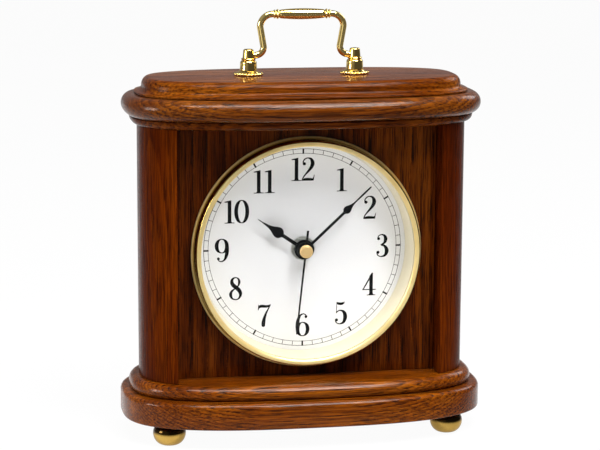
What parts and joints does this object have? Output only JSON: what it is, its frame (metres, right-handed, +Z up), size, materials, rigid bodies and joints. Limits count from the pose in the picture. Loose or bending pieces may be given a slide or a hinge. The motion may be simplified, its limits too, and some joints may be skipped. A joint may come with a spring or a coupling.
{
  "type": "table clock",
  "caption": "Oval wooden table clock with moulded base and cornice, ball feet, a round brass-bezelled dial with hands, and a folding brass bail handle.",
  "frame": {"origin": "on the surface it stands on, under the middle of the four feet", "axes": "+Z up, -Y out of the dial towards the viewer, +X to the viewer's right"},
  "size_m": [0.211, 0.107, 0.2456],
  "materials": {
    "stained_wood": "red-brown stained hardwood, satin lacquer, dark open grain",
    "panel_wood": "darker red-brown stained hardwood, satin lacquer",
    "plywood": "thin stained board, matt",
    "brass": "polished and lacquered",
    "steel": "zinc plated",
    "glass": "clear flat glass",
    "cream_lacquer": "satin",
    "dial_white": "matt white with black print",
    "black_lacquer": "satin black",
    "black_plastic": "moulded, matt",
    "gear_plastic": "moulded acetal",
    "copper": "enamelled copper winding",
    "circuit_green": "solder mask",
    "battery_jacket": "plain dark jacket"
  },
  "bodies": {
    "case": {"base_plinth": "stained_wood", "base_moulding": "stained_wood", "end_post_left": "stained_wood", "end_post_right": "stained_wood", "cornice_moulding": "stained_wood", "cornice_board": "stained_wood", "top_board": "stained_wood", "front_panel": "panel_wood", "back_panel": "plywood", "back_screw_lower_left": "steel", "back_screw_lower_right": "steel", "back_screw_upper_left": "steel", "back_screw_upper_right": "steel", "foot_front_left": "brass", "foot_front_right": "brass", "foot_rear_left": "brass", "foot_rear_right": "brass", "handle_post_left": "brass", "handle_post_right": "brass", "handle_rosette_left": "brass", "handle_rosette_right": "brass", "handle_screw_left": "steel", "handle_screw_right": "steel", "bezel_ring": "brass", "glass_lens": "glass", "reflector_ring": "cream_lacquer", "dial_plate": "dial_white", "retaining_clip_1": "steel", "retaining_clip_2": "steel", "retaining_clip_3": "steel", "clip_screw_1": "steel", "clip_screw_2": "steel", "clip_screw_3": "steel", "threaded_bush": "brass", "bush_washer": "steel", "bush_nut": "steel", "movement_case": "black_plastic", "movement_cover": "black_plastic", "middle_plate": "gear_plastic", "stator": "steel", "coil": "copper", "circuit_board": "circuit_green", "battery": "battery_jacket", "battery_contact_positive": "steel", "battery_contact_negative": "steel"},
    "handle": {"handle_bail": "brass"},
    "minute_hand_group": {"minute_hand": "black_lacquer", "cannon_pinion": "steel"},
    "hour_hand_group": {"hour_hand": "black_lacquer", "hour_wheel": "gear_plastic"},
    "minute_wheel_group": {"minute_wheel": "gear_plastic"},
    "setting_knob_group": {"setting_knob": "gear_plastic"},
    "second_hand_group": {"second_hand": "black_lacquer", "second_hand_cap": "brass", "second_wheel": "gear_plastic"},
    "third_wheel_group": {"third_wheel": "gear_plastic"},
    "centre_wheel_group": {"centre_wheel": "gear_plastic"},
    "fifth_wheel_group": {"fifth_wheel": "gear_plastic"},
    "rotor_group": {"rotor": "steel"}
  },
  "joints": [
    {"name": "handle_fold", "type": "hinge", "parent": "case", "child": "handle", "pos_m": [0, 0, 0.2191], "axis": [1, 0, 0], "range_deg": [-105, 105]},
    {"name": "minute_hand_turn", "type": "hinge", "parent": "case", "child": "minute_hand_group", "pos_m": [0, 0, 0.10733], "axis": [0, 1, 0], "continuous": true},
    {"name": "hour_hand_turn", "type": "hinge", "parent": "case", "child": "hour_hand_group", "pos_m": [0, 0, 0.10733], "axis": [0, 1, 0], "continuous": true},
    {"name": "minute_wheel_turn", "type": "hinge", "parent": "case", "child": "minute_wheel_group", "pos_m": [-0.0096, 0, 0.10733], "axis": [0, 1, 0], "continuous": true},
    {"name": "setting_knob_turn", "type": "hinge", "parent": "case", "child": "setting_knob_group", "pos_m": [-0.01681, 0, 0.11454], "axis": [0, 1, 0], "continuous": true},
    {"name": "second_hand_turn", "type": "hinge", "parent": "case", "child": "second_hand_group", "pos_m": [0, 0, 0.10733], "axis": [0, 1, 0], "continuous": true},
    {"name": "third_wheel_turn", "type": "hinge", "parent": "case", "child": "third_wheel_group", "pos_m": [0.00938, 0, 0.11519], "axis": [0, 1, 0], "continuous": true},
    {"name": "centre_wheel_turn", "type": "hinge", "parent": "case", "child": "centre_wheel_group", "pos_m": [0, 0, 0.10733], "axis": [0, 1, 0], "continuous": true},
    {"name": "fifth_wheel_turn", "type": "hinge", "parent": "case", "child": "fifth_wheel_group", "pos_m": [-0.00888, 0, 0.11056], "axis": [0, 1, 0], "continuous": true},
    {"name": "rotor_turn", "type": "hinge", "parent": "case", "child": "rotor_group", "pos_m": [-0.00951, 0, 0.11773], "axis": [0, 1, 0], "continuous": true}
  ],
  "couplings": [
    {"joint": "hour_hand_turn", "follows": "minute_hand_turn", "ratio": 0.083333},
    {"joint": "minute_wheel_turn", "follows": "minute_hand_turn", "ratio": -0.33333},
    {"joint": "setting_knob_turn", "follows": "minute_hand_turn", "ratio": 0.8},
    {"joint": "third_wheel_turn", "follows": "second_hand_turn", "ratio": -0.13333},
    {"joint": "centre_wheel_turn", "follows": "second_hand_turn", "ratio": 0.016667},
    {"joint": "fifth_wheel_turn", "follows": "second_hand_turn", "ratio": -6},
    {"joint": "rotor_turn", "follows": "second_hand_turn", "ratio": 30}
  ]
}
